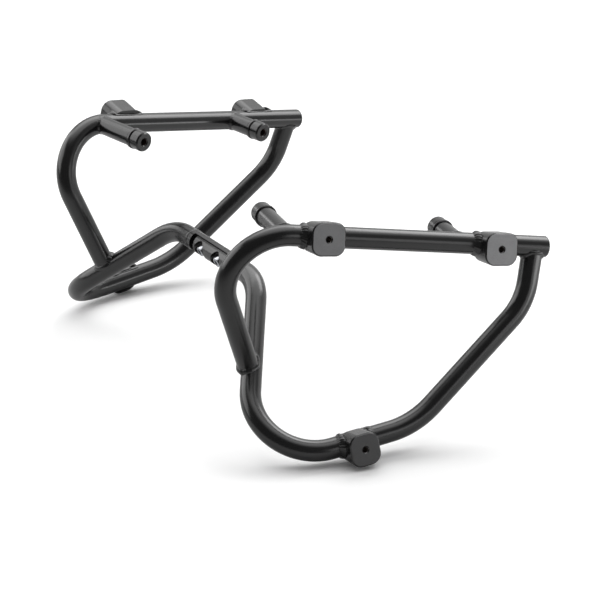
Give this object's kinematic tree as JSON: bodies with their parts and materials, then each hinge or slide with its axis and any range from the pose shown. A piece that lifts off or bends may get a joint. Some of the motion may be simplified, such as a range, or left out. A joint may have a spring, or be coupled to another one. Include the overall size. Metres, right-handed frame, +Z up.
{
  "type": "motorcycle side bag carrier",
  "caption": "Mirrored bent steel tube side bag carriers for a motorcycle, joined by a bolted cross link, with flat threaded bag pads and inward mounting posts.",
  "frame": {"origin": "on the floor plane below the middle of the carrier's bounding box", "axes": "+X forward on the motorcycle, +Y to the rider's left, +Z up"},
  "size_m": [0.3106, 0.5188, 0.2215],
  "materials": {
    "frame_coat": "satin black powder coat",
    "bush_coat": "satin black powder coat, thin on turned edges",
    "pad_coat": "satin black powder coat on a milled face",
    "screw_zinc": "bright zinc plate"
  },
  "bodies": {
    "root": {"left_bottom_bag_pad": "pad_coat", "left_front_bag_pad": "pad_coat", "left_front_post_bush": "bush_coat", "left_front_post_tube": "frame_coat", "left_hoop_tube": "frame_coat", "left_link_end": "frame_coat", "left_rear_bag_pad": "pad_coat", "left_rear_post_bush": "bush_coat", "left_rear_post_tube": "frame_coat", "left_top_rail_tube": "frame_coat", "link_screws": "screw_zinc", "right_bottom_bag_pad": "pad_coat", "right_front_bag_pad": "pad_coat", "right_front_post_bush": "bush_coat", "right_front_post_tube": "frame_coat", "right_hoop_tube": "frame_coat", "right_link_end": "frame_coat", "right_rear_bag_pad": "pad_coat", "right_rear_post_bush": "bush_coat", "right_rear_post_tube": "frame_coat", "right_top_rail_tube": "frame_coat"}
  },
  "joints": []
}
